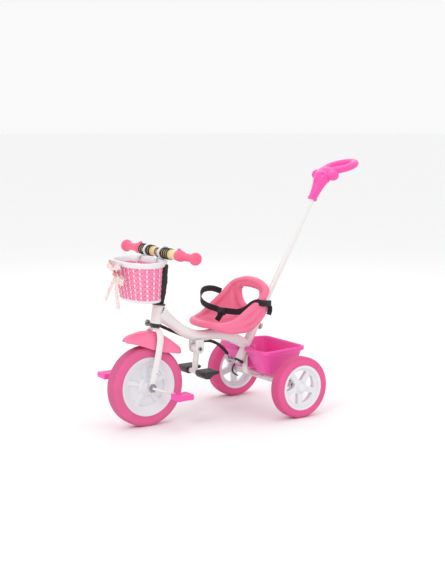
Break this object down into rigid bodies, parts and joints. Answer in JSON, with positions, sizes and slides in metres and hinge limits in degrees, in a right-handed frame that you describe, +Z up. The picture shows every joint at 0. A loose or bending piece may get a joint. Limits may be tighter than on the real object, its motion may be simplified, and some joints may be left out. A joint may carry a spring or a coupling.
{
  "type": "children's tricycle",
  "caption": "Child's tricycle with bucket seat and harness, front basket, rear bin, pedals on the front wheel, folding footrest and a steering push bar.",
  "frame": {"origin": "on the ground, under the middle of the bounding box", "axes": "+Z up, the rider faces -Y, +X is the rider's left"},
  "size_m": [0.426, 0.9438, 0.788],
  "materials": {
    "white_paint": "gloss",
    "white_plastic": "gloss",
    "pink_plastic": "gloss",
    "magenta_plastic": "gloss",
    "pink_foam": "matte",
    "black_plastic": "satin",
    "black_rubber": "matte",
    "black_steel": "satin",
    "cream_padding": "satin",
    "plated_steel": "bright",
    "bright_chrome": "polished",
    "black_webbing": "woven",
    "pink_ribbon": "satin"
  },
  "bodies": {
    "frame_body": {"head_tube": "white_paint", "main_tube": "white_paint", "push_bar_socket": "white_paint", "axle_stay": "white_paint", "rear_axle_tube": "white_paint", "rear_axle": "plated_steel", "head_bush_upper": "black_plastic", "head_bush_lower": "black_plastic", "socket_bush": "black_plastic", "socket_bush_upper": "black_plastic", "seat": "pink_plastic", "seat_saddle": "plated_steel", "harness_strap_left": "black_webbing", "harness_strap_right": "black_webbing", "harness_buckle": "black_plastic", "footrest_bracket_left": "white_paint", "footrest_bracket_right": "white_paint", "footrest_bolt": "plated_steel", "bin": "magenta_plastic"},
    "steering_body": {"fork": "white_paint", "steerer_tube": "white_paint", "stem_sleeve": "black_rubber", "stem_clamp": "black_plastic", "handlebar": "plated_steel", "bar_padding_left": "cream_padding", "bar_padding_right": "cream_padding", "grip_left": "pink_plastic", "grip_right": "pink_plastic", "ribbed_sleeve_right": "black_rubber", "ribbed_sleeve_centre": "black_rubber", "ribbed_sleeve_left": "black_rubber", "basket_hook_right": "white_plastic", "basket_hook_left": "white_plastic", "basket": "pink_plastic", "ribbon_bow": "pink_ribbon", "front_fender": "pink_plastic", "steering_arm": "black_steel", "hub_washer_left": "plated_steel", "hub_washer_right": "plated_steel"},
    "front_wheel_body": {"front_tyre": "pink_foam", "front_rim": "white_plastic", "crank_axle": "white_paint"},
    "pedal_left_body": {"pedal_left": "magenta_plastic"},
    "pedal_right_body": {"pedal_right": "magenta_plastic"},
    "rear_wheel_left_body": {"rear_tyre_left": "pink_foam", "rear_rim_left": "white_plastic", "hub_cap_left": "white_plastic"},
    "rear_wheel_right_body": {"rear_tyre_right": "pink_foam", "rear_rim_right": "white_plastic", "hub_cap_right": "white_plastic"},
    "push_bar_body": {"push_bar": "white_paint", "push_handle": "magenta_plastic", "steering_lever": "plated_steel"},
    "link_body": {"link_rod": "black_steel"},
    "footrest_body": {"footrest_stem": "white_paint", "footrest_pad_left": "black_plastic", "footrest_pad_right": "black_plastic"},
    "brake_left_body": {"brake_lever_left": "black_steel"},
    "brake_right_body": {"brake_lever_right": "black_steel"},
    "knob_body": {"lock_knob": "bright_chrome"}
  },
  "joints": [
    {"name": "steering", "type": "hinge", "parent": "frame_body", "child": "steering_body", "pos_m": [0, -0.30744, 0.3158], "axis": [0, 0.165, 0.9863], "range_deg": [-30, 30]},
    {"name": "front_wheel_spin", "type": "hinge", "parent": "steering_body", "child": "front_wheel_body", "pos_m": [0, -0.34694, 0.125], "axis": [1, 0, 0], "continuous": true},
    {"name": "pedal_left_spin", "type": "hinge", "parent": "front_wheel_body", "child": "pedal_left_body", "pos_m": [0.101, -0.27494, 0.1], "axis": [1, 0, 0], "continuous": true},
    {"name": "pedal_right_spin", "type": "hinge", "parent": "front_wheel_body", "child": "pedal_right_body", "pos_m": [-0.101, -0.41894, 0.15], "axis": [1, 0, 0], "continuous": true},
    {"name": "rear_wheel_left_spin", "type": "hinge", "parent": "frame_body", "child": "rear_wheel_left_body", "pos_m": [0.1823, 0.10806, 0.0975], "axis": [1, 0, 0], "continuous": true},
    {"name": "rear_wheel_right_spin", "type": "hinge", "parent": "frame_body", "child": "rear_wheel_right_body", "pos_m": [-0.1823, 0.10806, 0.0975], "axis": [1, 0, 0], "continuous": true},
    {"name": "push_bar_turn", "type": "hinge", "parent": "frame_body", "child": "push_bar_body", "pos_m": [0, 0.00406, 0.1655], "axis": [0, 0.4985, 0.8669], "range_deg": [-30.5, 30.5]},
    {"name": "link_swing", "type": "hinge", "parent": "steering_body", "child": "link_body", "pos_m": [-0.05196, -0.30581, 0.31287], "axis": [-0.0525, 0.165, 0.9849], "range_deg": [-30.5, 30.5]},
    {"name": "footrest_fold", "type": "hinge", "parent": "frame_body", "child": "footrest_body", "pos_m": [0, -0.15944, 0.222], "axis": [1, 0, 0], "range_deg": [0, 40]},
    {"name": "brake_left_press", "type": "hinge", "parent": "frame_body", "child": "brake_left_body", "pos_m": [0.148, 0.09406, 0.117], "axis": [1, 0, 0], "range_deg": [0, 20]},
    {"name": "brake_right_press", "type": "hinge", "parent": "frame_body", "child": "brake_right_body", "pos_m": [-0.148, 0.09406, 0.117], "axis": [1, 0, 0], "range_deg": [0, 20]},
    {"name": "lock_knob_turn", "type": "hinge", "parent": "frame_body", "child": "knob_body", "pos_m": [0, 0.06886, 0.2782], "axis": [0, 0.8669, -0.4985], "continuous": true}
  ],
  "couplings": [
    {"joint": "push_bar_turn", "follows": "steering", "ratio": 1},
    {"joint": "link_swing", "follows": "steering", "ratio": -1}
  ]
}
